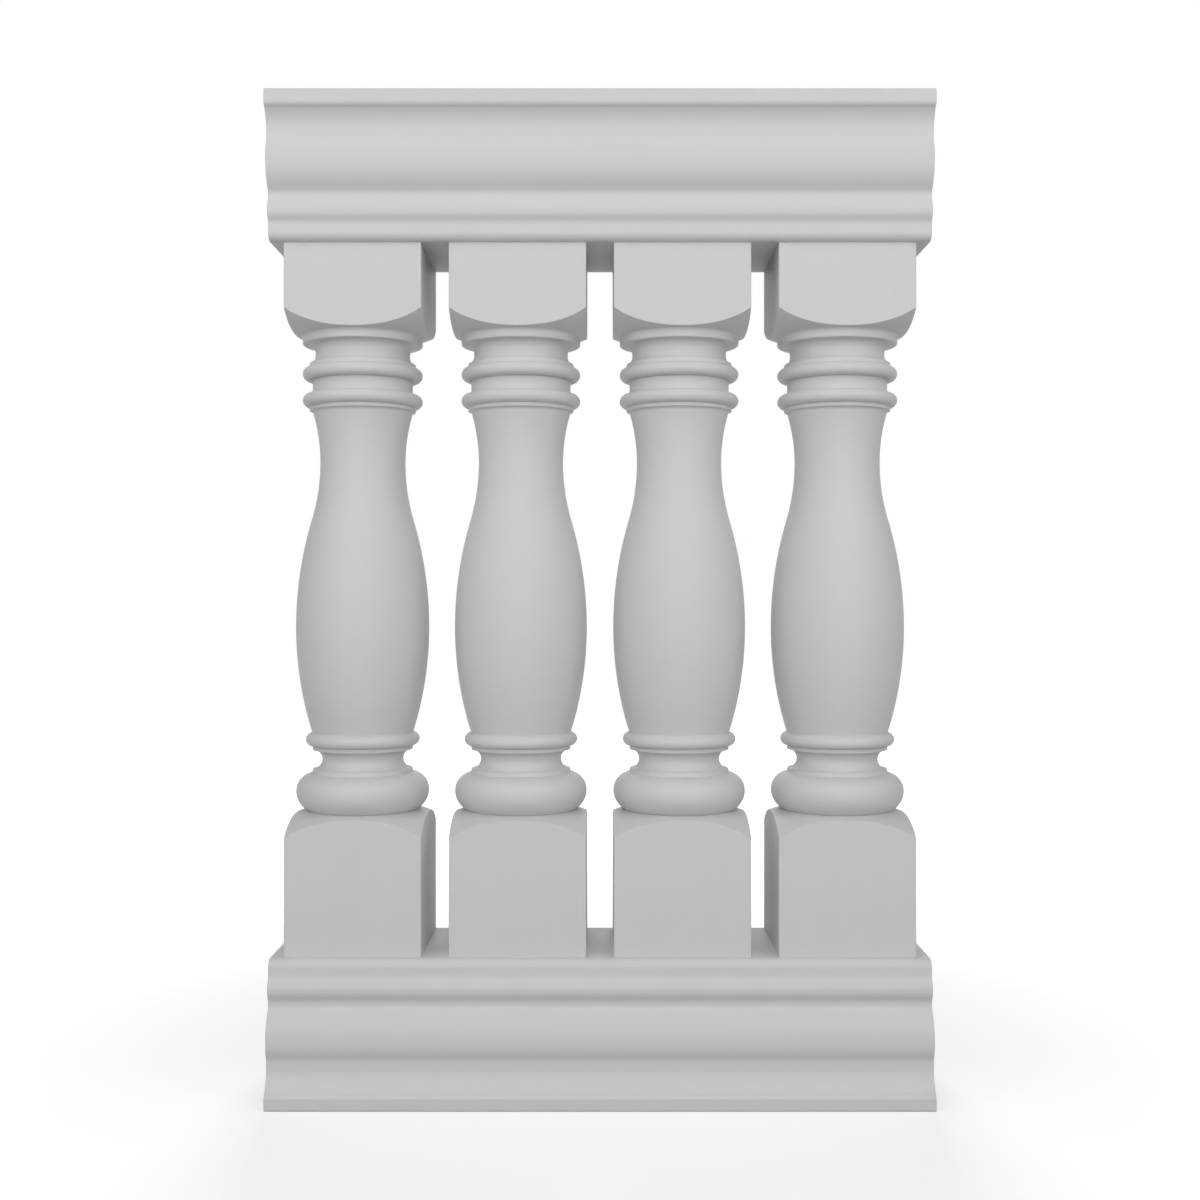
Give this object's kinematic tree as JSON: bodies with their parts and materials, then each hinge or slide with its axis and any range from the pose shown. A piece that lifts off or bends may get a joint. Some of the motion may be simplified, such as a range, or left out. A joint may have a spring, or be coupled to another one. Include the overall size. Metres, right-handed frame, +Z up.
{
  "type": "deck railing section",
  "caption": "Straight balustrade section: turned vase balusters with square end blocks, seated on steel pipes between a moulded top rail and a matching bottom rail.",
  "frame": {"origin": "middle of the bottom rail's underside, on the deck", "axes": "+X along the rails, +Y through their depth with the front at -Y, +Z up"},
  "size_m": [0.6096, 0.181, 0.9271],
  "materials": {
    "primed_moulding": "satin light grey primer on moulded foam",
    "galvanised_pipe": "galvanised steel pipe"
  },
  "bodies": {
    "root": {"bottom_rail": "primed_moulding", "top_rail": "primed_moulding", "baluster_1": "primed_moulding", "baluster_2": "primed_moulding", "baluster_3": "primed_moulding", "baluster_4": "primed_moulding", "steel_pipe_1": "galvanised_pipe", "steel_pipe_2": "galvanised_pipe", "steel_pipe_3": "galvanised_pipe", "steel_pipe_4": "galvanised_pipe"}
  },
  "joints": []
}
